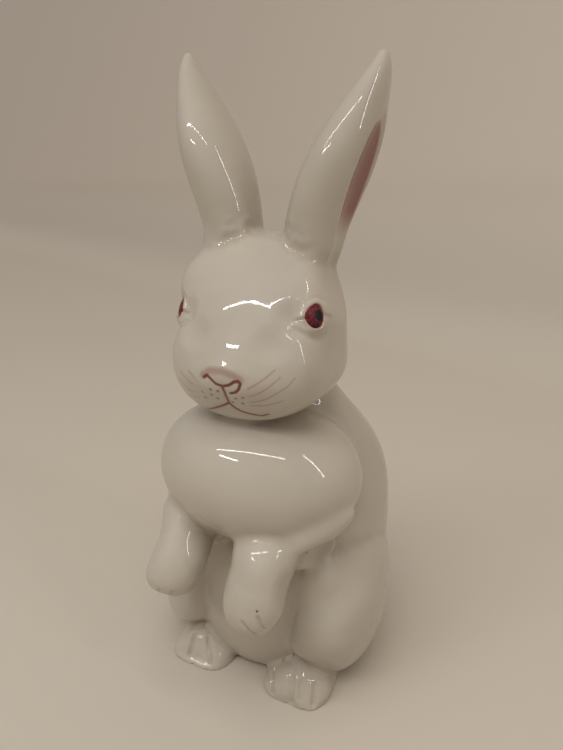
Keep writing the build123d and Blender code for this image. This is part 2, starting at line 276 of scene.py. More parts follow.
class FigurineColours(bpy.types.PropertyGroup):
    porcelain: colour_choice("Porcelain", "Warm white of the glazed body", (0.53, 0.467, 0.385))
    # This colour is also painted shade: darker in the creases between pieces and in the grooves
    pool: colour_choice("Glaze pool", "Grey-green of the glaze where it gathers", (0.42, 0.35, 0.27))
    blush: colour_choice("Blush", "Dusty pink of the ears and the nose", (0.28, 0.125, 0.105))
    line: colour_choice("Painted line", "Dark red of the nostrils and the mouth", (0.17, 0.03, 0.03))
    freckle: colour_choice("Freckle", "Grey of the muzzle's dots", (0.17, 0.15, 0.11))
    whisker: colour_choice("Whisker", "Faint pinkish brown of the whiskers", (0.36, 0.22, 0.18))
    # The lid colour also stands as painted shade in the outer corners' creases
    lid: colour_choice("Lid", "Pinkish brown along the lids and in the eyes' corners", (0.36, 0.22, 0.18))
    eye_glass: colour_choice("Eye glass", "Deep red of the glass eyes", (0.21, 0.018, 0.028))
    floor: colour_choice("Floor", "Pale beige of the floor", (0.585, 0.52, 0.435))
    backdrop: colour_choice("Backdrop", "Warm grey of the backdrop", (0.78, 0.69, 0.60))


class FigurineStage(bpy.types.PropertyGroup):
    camera_place: bpy.props.FloatVectorProperty(
        name="Camera place",
        description="Where the camera stands",
        subtype="TRANSLATION",
        unit="LENGTH",
        default=(0.113, -0.263, 0.241),
    )
    camera_yaw: bpy.props.FloatProperty(
        name="Camera yaw",
        description="How far the camera stands round to the rabbit's left",
        subtype="ANGLE",
        default=math.radians(24.2),
    )
    camera_pitch: bpy.props.FloatProperty(
        name="Camera pitch",
        description="How far the camera looks down",
        subtype="ANGLE",
        default=math.radians(17.0),
    )
    camera_roll: bpy.props.FloatProperty(
        name="Camera roll",
        description="How far the camera leans",
        subtype="ANGLE",
        default=math.radians(2.0),
    )
    camera_lens: bpy.props.FloatProperty(
        name="Lens",
        description="Focal length of the camera in millimetres",
        default=27.0,
        min=1.0,
        subtype="DISTANCE_CAMERA",
    )


def sizes():
    return bpy.context.scene.figurine_sizes


def colours():
    return bpy.context.scene.figurine_colours


def stage():
    return bpy.context.scene.figurine_stage


# Hand tools


def camera_axes():
    """The camera's directions to the right, up and ahead."""
    shot = stage()
    yaw, pitch, roll = shot.camera_yaw, shot.camera_pitch, shot.camera_roll
    ahead = Vector((-math.sin(yaw) * math.cos(pitch), math.cos(yaw) * math.cos(pitch), -math.sin(pitch)))
    level_right = Vector((math.cos(yaw), math.sin(yaw), 0.0))
    level_up = level_right.cross(ahead)
    right = level_right * math.cos(roll) + level_up * math.sin(roll)
    up = level_up * math.cos(roll) - level_right * math.sin(roll)
    return right, up, ahead


def on_skin(pixels):
    """The places on the fired form that show at these pixels of the photograph, in millimetres."""
    bpy.context.view_layer.update()
    shot = stage()
    right, up, ahead = camera_axes()
    focal = shot.camera_lens / SENSOR_WIDTH * max(PHOTO_SIZE)
    places = []
    for across, down in pixels:
        ray = ahead * focal + right * (across - PHOTO_SIZE[0] / 2) + up * (PHOTO_SIZE[1] / 2 - down)
        hit, place, _, _ = bpy.data.objects[FORM_NAME].ray_cast(shot.camera_place, ray.normalized())
        if not hit:
            raise RuntimeError(f"The fired form doesn't show at pixel {across}, {down}")
        places.append(tuple(place / MM))
    return tuple(places)


def select_only(piece):
    if bpy.context.object and bpy.context.object.mode != "OBJECT":
        bpy.ops.object.mode_set(mode="OBJECT")
    bpy.ops.object.select_all(action="DESELECT")
    piece.select_set(True)
    bpy.context.view_layer.objects.active = piece


def finish_with(piece, kind, **settings):
    """Adds one modifier to the piece and applies it."""
    select_only(piece)
    modifier = piece.modifiers.new(kind.lower(), kind)
    for name, value in settings.items():
        setattr(modifier, name, value)
    bpy.ops.object.modifier_apply(modifier=modifier.name)


def points_of(piece):
    """The places of the piece's vertices, one row each."""
    places = np.empty(len(piece.data.vertices) * 3)
    piece.data.vertices.foreach_get("co", places)
    return places.reshape(-1, 3)


def tree_of(*pieces):
    """A search tree over the faces of these pieces."""
    points, faces = [], []
    for piece in pieces:
        start = len(points)
        points.extend(v.co.copy() for v in piece.data.vertices)
        faces.extend(tuple(start + i for i in p.vertices) for p in piece.data.polygons)
    return BVHTree.FromPolygons(points, faces)


def smooth_step(values, low, high):
    share = np.clip((values - low) / (high - low), 0.0, 1.0)
    return share * share * (3.0 - 2.0 * share)


def give_group(piece, name, weights):
    """Writes one weight per vertex into a vertex group, in steps of a hundredth."""
    group = piece.vertex_groups.new(name=name)
    steps = np.round(weights * 100).astype(int)
    for step in np.unique(steps):
        if step > 0:
            group.add(np.flatnonzero(steps == step).tolist(), step / 100, "REPLACE")
    return group


def paint(piece, name, values):
    """Writes one value per vertex that a material reads by its name."""
    layer = piece.data.attributes.get(name) or piece.data.attributes.new(name, "FLOAT", "POINT")
    layer.data.foreach_set("value", np.asarray(values, np.float32))


def painted_before(piece, name):
    """The values painted so far under this name, or none at all."""
    values = np.zeros(len(piece.data.vertices), np.float32)
    layer = piece.data.attributes.get(name)
    if layer:
        layer.data.foreach_get("value", values)
    return values


def place_points(piece, points):
    piece.data.vertices.foreach_set("co", np.asarray(points, np.float32).ravel())
    piece.data.update()


def normals_of(piece):
    normals = np.empty(len(piece.data.vertices) * 3)
    piece.data.vertices.foreach_get("normal", normals)
    return normals.reshape(-1, 3)


def node_copy(node, name):
    """A copy of a node's mesh with its loose triangles joined."""
    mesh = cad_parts[node].data.copy()
    mesh.materials.clear()
    piece = bpy.data.objects.new(name, mesh)
    bpy.context.scene.collection.objects.link(piece)
    select_only(piece)
    bpy.ops.object.mode_set(mode="EDIT")
    bpy.ops.mesh.select_all(action="SELECT")
    bpy.ops.mesh.remove_doubles(threshold=0.002 * MM)
    bpy.ops.object.mode_set(mode="OBJECT")
    return piece


def gap_to(tree, points):
    """How far each point lies from the nearest surface."""
    return np.array([tree.find_nearest(point)[3] for point in points])


def eye_frame(side):
    """Middle of the glass, and its directions towards the outer corner, up and outwards."""
    low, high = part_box(EYE_NODES[side])
    lean = Matrix.Rotation(math.radians(EYE_LEAN), 3, "Y")
    turn = Matrix.Rotation(side * math.radians(EYE_TURN), 3, "Z")
    out = lean @ turn @ Matrix.Rotation(math.radians(EYE_TILT), 3, "X") @ Vector((0.0, -1.0, 0.0))
    outer = lean @ turn @ Vector((side, 0.0, 0.0))
    up = out.cross(outer) * side
    middle = (low + high) / 2 + out * 0.7 * MM
    return np.array(middle), np.array((outer, up, out))


def on_eye(points, side):
    """The points in the frame of one eye: across, up and outwards, in metres."""
    middle, axes = eye_frame(side)
    return (points - middle) @ axes.T


def inside_outline(flat, outline):
    """How far each flat point lies inside a closed outline, negative outside."""
    corners = np.array(outline) * MM
    best = np.full(len(flat), np.inf)
    inside = np.zeros(len(flat), bool)
    for start, end in zip(corners, np.roll(corners, -1, axis=0)):
        along = end - start
        share = np.clip((flat - start) @ along / (along @ along), 0.0, 1.0)
        best = np.minimum(best, np.linalg.norm(flat - (start + share[:, None] * along), axis=1))
        crosses = (start[1] > flat[:, 1]) != (end[1] > flat[:, 1])
        reach = start[0] + (flat[:, 1] - start[1]) / (along[1] or 1e-12) * along[0]
        inside ^= crosses & (flat[:, 0] < reach)
    return np.where(inside, best, -best)


def take_patch(form, owners, index, name):
    """The share of the fired form that belongs to one piece, closed behind its joints."""
    piece = form.copy()
    piece.data = form.data.copy()
    piece.name = name
    bpy.context.scene.collection.objects.link(piece)
    select_only(piece)
    bpy.ops.object.mode_set(mode="EDIT")
    bpy.ops.mesh.select_mode(type="FACE")
    bpy.ops.mesh.select_all(action="DESELECT")
    bpy.ops.object.mode_set(mode="OBJECT")
    piece.data.polygons.foreach_set("select", owners != index)
    bpy.ops.object.mode_set(mode="EDIT")
    bpy.ops.mesh.delete(type="FACE")
    bpy.ops.object.mode_set(mode="OBJECT")
    close_joints(piece)
    return piece


def close_joints(piece):
    """Closes every joint of a piece with a fan that runs to a point deep inside the figure."""
    shape = bmesh.new()
    shape.from_mesh(piece.data)
    loose = {edge for edge in shape.edges if edge.is_boundary}
    while loose:
        rim, reached = [], [loose.pop()]
        while reached:
            edge = reached.pop()
            rim.append(edge)
            for vertex in edge.verts:
                for other in vertex.link_edges:
                    if other in loose:
                        loose.remove(other)
                        reached.append(other)
        middle = sum((vertex.co for edge in rim for vertex in edge.verts), Vector()) / (2 * len(rim))
        core = HEAD_CORE if middle.z > NECK_HEIGHT else Vector((0.0, BODY_CORE_REACH, middle.z))
        tip = shape.verts.new(middle.lerp(core, 0.4))
        for edge in rim:
            loop = edge.link_loops[0]
            shape.faces.new((loop.link_loop_next.vert, loop.vert, tip))
            edge.seam = True
    shape.to_mesh(piece.data)
    shape.free()


def refine(piece, chosen):
    """Divides the chosen faces once and evens them out."""
    select_only(piece)
    bpy.ops.object.mode_set(mode="EDIT")
    bpy.ops.mesh.select_mode(type="FACE")
    bpy.ops.mesh.select_all(action="DESELECT")
    bpy.ops.object.mode_set(mode="OBJECT")
    middles = np.empty(len(piece.data.polygons) * 3)
    piece.data.polygons.foreach_get("center", middles)
    corners = np.empty(len(piece.data.polygons), int)
    piece.data.polygons.foreach_get("loop_total", corners)
    picked = chosen(middles.reshape(-1, 3)) & (corners <= 4)
    piece.data.polygons.foreach_set("select", picked)
    bpy.ops.object.mode_set(mode="EDIT")
    bpy.ops.mesh.subdivide(number_cuts=1, smoothness=0.0)
    bpy.ops.object.mode_set(mode="OBJECT")


def off_joint(piece):
    """One weight per vertex: nothing on the joints of a piece, full a few millimetres away."""
    points = points_of(piece)
    rim = {index for edge in piece.data.edges if edge.use_seam for index in edge.vertices}
    if not rim:
        return np.ones(len(points))
    tree = KDTree(len(rim))
    for index in rim:
        tree.insert(points[index], index)
    tree.balance()
    gaps = np.array([tree.find(point)[2] for point in points])
    return smooth_step(gaps, 0.2 * MM, 3.0 * MM)


def even_out(piece, weights, rounds):
    group = give_group(piece, "even", weights)
    finish_with(piece, "SMOOTH", vertex_group=group.name, factor=0.5, iterations=rounds)
    piece.vertex_groups.clear()


def push(piece, amounts):
    """Moves every vertex along its normal."""
    place_points(piece, points_of(piece) + normals_of(piece) * amounts[:, None])


def paint_pool_and_shade(piece, node):
    """Marks where glaze gathers along every joint with another piece, and where painted shade darkens the
    creases there.
    """
    others = tree_of(*(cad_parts[other] for other in CLAY_NODES if other != node))
    paint(piece, "glaze_pool_and_crease_shade", 1.0 - smooth_step(gap_to(others, points_of(piece)), 0.0, sizes().pool_and_shade_reach))


def patch_of(node, name):
    form = bpy.data.objects[FORM_NAME]
    owners = np.empty(len(form.data.polygons), np.int32)
    form.data.attributes["owner"].data.foreach_get("value", owners)
    return take_patch(form, owners, CLAY_NODES.index(node), name)


def put_up(piece, node):
    """Hands the finished piece over to the frame in place of its node."""
    select_only(piece)
    bpy.ops.object.shade_smooth_by_angle(angle=math.radians(50.0))
    for edge in piece.data.edges:
        if edge.use_seam:
            edge.use_edge_sharp = True
    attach(piece, "root")
    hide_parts(node)


# Finishes


class Finish:
    """A material under construction: nodes are added and wired by short calls."""

    def __init__(self, name):
        self.material = bpy.data.materials.new(name)
        self.material.use_nodes = True
        self.tree = self.material.node_tree
        self.shader = self.tree.nodes["Principled BSDF"]

    def node(self, kind, inputs=None, **settings):
        node = self.tree.nodes.new(kind)
        for name, value in settings.items():
            setattr(node, name, value)
        for name, value in (inputs or {}).items():
            self.put(node.inputs[name], value)
        return node

    def put(self, socket, value):
        if isinstance(value, bpy.types.NodeSocket):
            self.tree.links.new(value, socket)
        else:
            socket.default_value = value

    def place(self):
        return self.node("ShaderNodeTexCoord").outputs["Object"]

    def mask(self, name):
        return self.node("ShaderNodeAttribute", attribute_name=name).outputs["Fac"]

    def noise(self, scale, detail=2.0, rough=0.5, stretch=None):
        place = self.place()
        if stretch:
            place = self.node("ShaderNodeMapping", {"Vector": place, "Scale": stretch}).outputs["Vector"]
        inputs = {"Vector": place, "Scale": scale, "Detail": detail, "Roughness": rough}
        return self.node("ShaderNodeTexNoise", inputs).outputs["Fac"]

    def ramp(self, value, low, high, out_low=0.0, out_high=1.0):
        inputs = {"Value": value, 1: low, 2: high, 3: out_low, 4: out_high}
        return self.node("ShaderNodeMapRange", inputs, interpolation_type="SMOOTHSTEP").outputs["Result"]

    def times(self, a, b):
        return self.node("ShaderNodeMath", {0: a, 1: b}, operation="MULTIPLY").outputs["Value"]

    def mix(self, share, a, b):
        node = self.node("ShaderNodeMix", data_type="RGBA")
        self.put(node.inputs[0], share)
        for socket, value in ((node.inputs[6], a), (node.inputs[7], b)):
            self.put(socket, value if isinstance(value, bpy.types.NodeSocket) else (*value, 1.0))
        return node.outputs[2]

    def set(self, **values):
        for name, value in values.items():
            self.put(self.shader.inputs[name.replace("_", " ")], value)

    def bump(self, height, distance, strength=1.0):
        node = self.node("ShaderNodeBump", {"Height": height, "Distance": distance, "Strength": strength})
        self.put(self.shader.inputs["Normal"], node.outputs["Normal"])


def tinted(colour, share):
    """The same colour, lighter or darker by a share."""
    return tuple(min(1.0, part * share) for part in colour)


def glaze(name, painted=()):
    """Glossy warm white glaze over porcelain, with its pooled glaze and painted shade in creases and grooves,
    and painted marks under it.
    """
    finish = Finish(name)
    tone = colours()
    clouds = finish.ramp(finish.noise(22.0, 3.0), 0.38, 0.66)
    base = finish.mix(clouds, tone.porcelain, tinted(tone.porcelain, 0.93))
    thick = finish.times(finish.ramp(finish.noise(14.0, 2.0), 0.5, 0.72), 0.35)
    base = finish.mix(thick, base, tone.pool)
    # Painted shade: the darker pooling colour laid along the joints between pieces, with the pooled glaze
    pools_and_shade = finish.times(finish.mask("glaze_pool_and_crease_shade"), finish.ramp(finish.noise(70.0, 2.0), 0.3, 0.7, 0.25, 0.7))
    base = finish.mix(pools_and_shade, base, tone.pool)
    # Painted shade: the grooves darkened with the pooling colour, with the pooled glaze
    base = finish.mix(finish.mask("groove_pool_and_shade"), base, tone.pool)
    for mask, colour in painted:
        base = finish.mix(finish.mask(mask), base, colour)
    finish.set(Base_Color=base, Roughness=0.45, IOR=1.5, Specular_IOR_Level=0.15)
    finish.set(Coat_Weight=1.0, Coat_Roughness=0.045, Coat_IOR=1.5)
    finish.bump(finish.noise(55.0, 2.0, 0.45), 0.5 * MM, 0.35)
    return finish.material


def glaze_limb(node, fine=None):
    """Takes a limb off the fired form, refines it where told, and glazes it."""
    piece = patch_of(node, "glazed_" + node)
    if fine:
        refine(piece, fine)
        press_grooves(piece, grooves_of(node))
    speck(piece)
    paint_pool_and_shade(piece, node)
    piece.data.materials.append(glaze_of("porcelain_glaze", (("iron", (0.06, 0.05, 0.04)),)))
    put_up(piece, node)


def speck(piece):
    """The one iron fleck burnt into the glaze of a foreleg."""
    (place,) = on_skin((IRON_FLECK,))
    gap = np.linalg.norm(points_of(piece) - np.array(place) * MM, axis=1)
    paint(piece, "iron", 1.0 - smooth_step(gap, 0.25 * MM, 0.8 * MM))


def grooves_of(node):
    """The grooves of one limb, in millimetres, with those of the photograph cast onto the skin."""
    seen = [(on_skin(line), half_width, depth) for line, half_width, depth in SEEN_GROOVES.get(node, ())]
    return (*seen, *HIDDEN_GROOVES.get(node, ()))


def press_grooves(piece, grooves):
    """Presses soft valleys into the skin and paints them darker, as pooled glaze and as painted shade."""
    points = points_of(piece)
    press, pooled_and_shaded = np.zeros(len(points)), np.zeros(len(points))
    for line, half_width, depth in grooves:
        gap, along = distance_to_line(points, line)
        ends = smooth_step(along, 0.0, 0.25)
        valley = np.exp(-((gap / (half_width * MM)) ** 2)) * ends
        swell = np.exp(-(((gap - 2.6 * half_width * MM) / (1.5 * half_width * MM)) ** 2)) * ends
        press = np.maximum(press, (valley - 0.25 * swell) * depth * MM)
        pooled_and_shaded = np.maximum(pooled_and_shaded, valley)
    push(piece, -press * off_joint(piece))
    # Painted shade in the valleys, together with the pooled glaze
    paint(piece, "groove_pool_and_shade", pooled_and_shaded * 0.3)


def glaze_of(name, painted=()):
    """The shared glaze under this name, made on its first use."""
    return bpy.data.materials.get(name) or glaze(name, painted)


def distance_to_line(points, line):
    """How far each point lies from a broken line, and how far along it the nearest place is."""
    line = np.array(line) * MM
    best = np.full(len(points), np.inf)
    along = np.zeros(len(points))
    lengths = np.linalg.norm(np.diff(line, axis=0), axis=1)
    done = 0.0
    for start, end, length in zip(line[:-1], line[1:], lengths):
        share = np.clip((points - start) @ (end - start) / length**2, 0.0, 1.0)
        gap = np.linalg.norm(points - (start + share[:, None] * (end - start)), axis=1)
        closer = gap < best
        best = np.where(closer, gap, best)
        along = np.where(closer, (done + share * length) / lengths.sum(), along)
        done += length
    return best, along


def drawn(points, line, half_width, soft=0.25 * MM, taper=0.0):
    """The mask of a brush line, full inside its half width, thinner towards its end."""
    gap, along = distance_to_line(points, line)
    width = half_width * (1.0 - taper * along)
    return 1.0 - smooth_step(gap, width - soft, width + soft)


class FIGURINE_OT_fired_form(bpy.types.Operator):
    """Luts copies of all clay pieces together, fills the creases and marks whose skin each face is"""

    bl_idname = "figurine.fired_form"
    bl_label = "Fired form"

    def execute(self, context):
        copies = [node_copy(node, "form_" + node) for node in (*CLAY_NODES, *EYE_NODES.values())]
        copies.append(self.drain_plug())
        copies.extend(self.added_clay(*sausage) for sausage in ADDED_CLAY)
        select_only(copies[0])
        for copy in copies:
            copy.select_set(True)
        bpy.ops.object.join()
        form = context.object
        form.name = FORM_NAME
        finish_with(form, "REMESH", mode="VOXEL", voxel_size=sizes().clay_grain, use_smooth_shade=True)
        form = self.keep_skin(form)
        finish_with(form, "SMOOTH", factor=0.5, iterations=5)
        self.fill_creases(form)
        self.shift_clay(form)
        self.sponge(form)
        self.leave_lumps(form)
        self.mark_owners(form)
        return {"FINISHED"}

    def drain_plug(self):
        """A stopper deep in the drain hole, so that the skin closes over the hollow."""
        bpy.ops.object.select_all(action="DESELECT")
        place = Vector(DRAIN_PLACE) * MM
        bpy.ops.mesh.primitive_cylinder_add(radius=PLUG_RADIUS * MM, depth=PLUG_DEPTH * MM, location=place)
        bpy.ops.object.transform_apply(location=True, rotation=True, scale=True)
        return bpy.context.object

    def added_clay(self, start, end, half_width):
        """A long ball of clay from one place to the other."""
        start, end = Vector(start) * MM, Vector(end) * MM
        turn = (end - start).to_track_quat("Z", "Y").to_euler()
        bpy.ops.object.select_all(action="DESELECT")
        bpy.ops.mesh.primitive_uv_sphere_add(radius=1.0, location=(start + end) / 2, rotation=turn)
        ball = bpy.context.object
        ball.scale = (half_width * MM, half_width * MM, (end - start).length / 2 + half_width * 0.5 * MM)
        bpy.ops.object.transform_apply(location=True, rotation=True, scale=True)
        return ball

    def keep_skin(self, form):
        """Drops the walls of the hollows: the largest of the loose shells is the outer skin."""
        select_only(form)
        bpy.ops.object.mode_set(mode="EDIT")
        bpy.ops.mesh.select_all(action="SELECT")
        bpy.ops.mesh.separate(type="LOOSE")
        bpy.ops.object.mode_set(mode="OBJECT")
        shells = sorted(bpy.context.selected_objects, key=lambda shell: len(shell.data.vertices))
        skin = shells.pop()
        for shell in shells:
            bpy.data.objects.remove(shell)
        skin.name = FORM_NAME
        return skin

    def fill_creases(self, form):
        """Raises the skin in its creases, as far as a much softer copy lies above it."""
        soft = form.copy()
        soft.data = form.data.copy()
        bpy.context.scene.collection.objects.link(soft)
        finish_with(soft, "SMOOTH", factor=0.5, iterations=sizes().joint_rounds)
        points, normals = points_of(form), normals_of(form)
        rise = np.einsum("ij,ij->i", points_of(soft) - points, normals)
        bpy.data.objects.remove(soft)
        open_places = np.ones(len(points))
        for side in EYE_NODES:
            gap = np.linalg.norm(on_eye(points, side), axis=1)
            open_places *= smooth_step(gap, 5.0 * MM, 8.0 * MM)
        toes = (points[:, 1] < -47.0 * MM) & (points[:, 2] < 13.0 * MM)
        claws = (points[:, 1] < -60.0 * MM) & (points[:, 2] < 82.0 * MM)
        ears = smooth_step(points[:, 2], 232.0 * MM, 240.0 * MM)
        base = smooth_step(points[:, 2], 3.0 * MM, 5.0 * MM)
        open_places *= np.where(toes | claws, 0.0, 1.0) * (1.0 - 0.9 * ears) * base
        push(form, np.clip(rise, 0.0, sizes().joint_fill) * open_places)
        even_out(form, base, 6)

    def shift_clay(self, form):
        """Works the strokes into the skin, but leaves the base and the glass where they are."""
        points = points_of(form)
        free = smooth_step(points[:, 2], 0.5 * MM, 4.0 * MM)
        for side in EYE_NODES:
            free *= smooth_step(np.linalg.norm(on_eye(points, side), axis=1), 5.5 * MM, 9.0 * MM)
        for place, reach, move in STROKES:
            gap = np.linalg.norm(points - np.array(place) * MM, axis=1) / (reach * MM)
            weight = (1.0 - np.minimum(gap, 1.0) ** 2) ** 2 * free
            points += weight[:, None] * np.array(move) * MM
        place_points(form, points)

    def sponge(self, form):
        points = points_of(form)
        weight = np.zeros(len(points))
        for place, reach in SPONGED:
            gap = np.linalg.norm(points - np.array(place) * MM, axis=1)
            weight = np.maximum(weight, 1.0 - smooth_step(gap, 0.5 * reach * MM, reach * MM))
        even_out(form, weight, 120)

    def leave_lumps(self, form):
        points = points_of(form)
        lift = np.zeros(len(points))
        for place, reach, height in LUMPS:
            gap = np.linalg.norm(points - np.array(place) * MM, axis=1) / (reach * MM)
            near = np.flatnonzero(gap < 1.0)
            bumps = [noise.noise(Vector(points[i]) / (4.0 * MM)) for i in near]
            lift[near] += np.array(bumps) * (1.0 - gap[near] ** 2) ** 2 * height * MM
        push(form, lift)

    def mark_owners(self, form):
        """Writes on each face which node's surface lies nearest to it."""
        points, faces, nodes = [], [], []
        for index, node in enumerate((*CLAY_NODES, *EYE_NODES.values())):
            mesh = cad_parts[node].data
            start = len(points)
            points.extend(v.co.copy() for v in mesh.vertices)
            faces.extend(tuple(start + i for i in p.vertices) for p in mesh.polygons)
            owner = index if index < len(CLAY_NODES) else CLAY_NODES.index("head")
            nodes.extend([owner] * len(mesh.polygons))
        tree = BVHTree.FromPolygons(points, faces)
        owners = [nodes[tree.find_nearest(p.center)[2]] for p in form.data.polygons]
        owners = self.without_islands(form, np.array(owners, np.int32))
        layer = form.data.attributes.new("owner", "INT", "FACE")
        layer.data.foreach_set("value", owners)

    def without_islands(self, form, owners):
        """Gives every small stray group of faces to the piece around it."""
        sides = {}
        for polygon in form.data.polygons:
            for key in polygon.edge_keys:
                sides.setdefault(key, []).append(polygon.index)
        around = [[] for _ in owners]
        for pair in sides.values():
            if len(pair) == 2:
                around[pair[0]].append(pair[1])
                around[pair[1]].append(pair[0])
        seen = np.zeros(len(owners), bool)
        groups = {}
        for start in range(len(owners)):
            if seen[start]:
                continue
            seen[start] = True
            group, edge = [start], [start]
            while edge:
                for other in around[edge.pop()]:
                    if not seen[other] and owners[other] == owners[start]:
                        seen[other] = True
                        group.append(other)
                        edge.append(other)
            groups.setdefault(int(owners[start]), []).append(group)
        for owner, found in groups.items():
            for group in sorted(found, key=len)[:-1]:
                rim = [owners[other] for face in group for other in around[face] if owners[other] != owner]
                owners[group] = max(set(rim), key=rim.count) if rim else owner
        return owners


class FIGURINE_OT_torso(bpy.types.Operator):
    """Glazes the torso and leaves its foot ring bare"""

    bl_idname = "figurine.torso"
    bl_label = "Torso"

    def execute(self, context):
        piece = patch_of("torso", "glazed_torso")
        paint_pool_and_shade(piece, "torso")
        points = points_of(piece)
        paint(piece, "bare_clay", 1.0 - smooth_step(points[:, 2], 0.8 * MM, 1.6 * MM))
        piece.data.materials.append(glaze_of("porcelain_glaze_foot", (("bare_clay", (0.55, 0.46, 0.36)),)))
        put_up(piece, "torso")
        return {"FINISHED"}


class FIGURINE_OT_head(bpy.types.Operator):
    """Glazes the head, shapes its lids and muzzle, and paints its face"""

    bl_idname = "figurine.head"
    bl_label = "Head"

    def execute(self, context):
        piece = patch_of("head", "glazed_head")
        refine(piece, lambda at: (at[:, 1] < -FACE_START * MM) & (at[:, 2] < FACE_TOP * MM))
        points = points_of(piece)
        even_out(piece, smooth_step(-points[:, 1], 36.0 * MM, 40.0 * MM) * off_joint(piece), 3)
        for side in EYE_NODES:
            self.shape_lids(piece, side)
        self.shape_muzzle(piece)
        self.paint_face(piece)
        paint_pool_and_shade(piece, "head")
        tone = colours()
        painted = (
            ("lid_blush_and_corner_shade", tone.lid),
            ("nose_blush", tone.blush),
            ("whisker_line", tone.whisker),
            ("freckle_dot", tone.freckle),
            ("red_line", tone.line),
        )
        piece.data.materials.append(glaze_of("porcelain_glaze_face", painted))
        put_up(piece, "head")
        return {"FINISHED"}

    def shape_lids(self, piece, side):
        """Sinks the skin under the glass and raises the lids and folds around it."""
        points = points_of(piece)
        local = on_eye(points, side)
        near = (np.abs(local[:, 2]) < 8.0 * MM) & (np.hypot(local[:, 0], local[:, 1]) < 18.0 * MM)
        depth = inside_outline(local[:, :2], LID_OPENING)
        sink = smooth_step(depth, -0.15 * MM, 0.55 * MM) * 2.0 * MM
        rim = np.exp(-(((depth + 0.8 * MM) / (0.8 * MM)) ** 2)) * 0.3 * MM
        lower, _ = distance_to_line(local[:, :2], LOWER_LID)
        pouch = np.exp(-((lower / (1.3 * MM)) ** 2)) * 0.55 * MM
        below, _ = distance_to_line(local[:, :2], UNDER_LID)
        trough = np.exp(-((below / (1.7 * MM)) ** 2)) * 0.55 * MM
        corners = np.zeros(len(points))
        for crease in (INNER_CORNER, OUTER_CORNER):
            gap, along = distance_to_line(local[:, :2], crease)
            dent = np.exp(-((gap / (0.75 * MM)) ** 2)) * (1.0 - 0.7 * along) * 0.6 * MM
            corners = np.maximum(corners, dent)
        fold, _ = distance_to_line(local[:, :2], UPPER_FOLD)
        upper = np.exp(-((fold / (1.1 * MM)) ** 2)) * 0.35 * MM
        lift = np.where(depth < 0.0, rim + pouch - trough - corners - upper, rim) - sink
        move = np.where(near, lift, 0.0)
        out = eye_frame(side)[1][2]
        place_points(piece, points + move[:, None] * out)
        depth_mask = np.where(near, 1.0, 0.0) * (depth < 0.3 * MM) * (depth > -9.0 * MM)
        even_out(piece, depth_mask * 0.6, 2)
        pink = np.where(near, np.exp(-((np.minimum(depth, 0.0) / (0.8 * MM)) ** 2)), 0.0)
        inner, along = distance_to_line(local[:, :2], INNER_CORNER)
        corner = np.exp(-((inner / (0.9 * MM)) ** 2)) * (1.0 - 0.5 * along)
        pink = np.maximum(pink, np.where(near, corner, 0.0))
        # Painted shade: the lid colour laid into the outer corner's crease
        outer, _ = distance_to_line(local[:, :2], OUTER_CORNER)
        pink = np.maximum(pink, np.where(near, np.exp(-((outer / (1.1 * MM)) ** 2)) * 0.6, 0.0))
        paint(piece, "lid_blush_and_corner_shade", np.maximum(painted_before(piece, "lid_blush_and_corner_shade"), pink * 0.75))

    def shape_muzzle(self, piece):
        """Presses the mouth and nostril lines in and swells the pads beside them."""
        points = points_of(piece)
        front = smooth_step(-points[:, 1], 50.0 * MM, 56.0 * MM)
        press = drawn(points, on_skin(NOSTRIL_LINE), 0.5 * MM, 0.6 * MM) * 0.25 * MM
        press = np.maximum(press, drawn(points, on_skin(PHILTRUM_LINE), 0.5 * MM, 0.9 * MM) * 0.4 * MM)
        for line in MOUTH_LINES:
            press = np.maximum(press, drawn(points, on_skin(line), 0.5 * MM, 0.9 * MM, 0.4) * 0.4 * MM)
        swell = np.zeros(len(points))
        for place, reach, height in FACE_DABS:
            gap = np.linalg.norm(points - np.array(place) * MM, axis=1) / (reach * MM)
            swell += np.where(gap < 1.0, (1.0 - gap**2) ** 2, 0.0) * height * MM
        push(piece, swell - press * front)

    def paint_face(self, piece):
        points = points_of(piece)
        outer = smooth_step(-points[:, 1], 40.0 * MM, 44.0 * MM)
        philtrum = on_skin(PHILTRUM_LINE)
        lines = drawn(points, on_skin(NOSTRIL_LINE), NOSTRIL_WIDTH / 2 * MM)
        lines = np.maximum(lines, drawn(points, philtrum, PHILTRUM_WIDTH / 2 * MM))
        halo = drawn(points, philtrum, 1.5 * MM, 1.3 * MM)
        for line in map(on_skin, MOUTH_LINES):
            lines = np.maximum(lines, drawn(points, line, MOUTH_WIDTH / 2 * MM, taper=0.35))
            halo = np.maximum(halo, drawn(points, line, 1.6 * MM, 1.4 * MM))
        paint(piece, "red_line", lines * outer)
        whiskers = np.zeros(len(points))
        for line in map(on_skin, WHISKERS):
            whiskers = np.maximum(whiskers, drawn(points, line, WHISKER_WIDTH / 2 * MM, taper=0.4))
        paint(piece, "whisker_line", whiskers * outer * 0.6)
        dots = np.zeros(len(points))
        for dot in on_skin(FRECKLES):
            gap = np.linalg.norm(points - np.array(dot) * MM, axis=1)
            dots = np.maximum(dots, 1.0 - smooth_step(gap, 0.45 * MM, 1.1 * MM))
        paint(piece, "freckle_dot", dots * outer)
        patch, _ = distance_to_line(points, on_skin(NOSE_PATCH))
        below = smooth_step(points[:, 2], 168.5 * MM, 170.5 * MM)
        nose = (1.0 - smooth_step(patch, 0.5 * MM, 2.6 * MM)) * below
        paint(piece, "nose_blush", np.maximum(nose * 0.5, halo * 0.25) * outer)


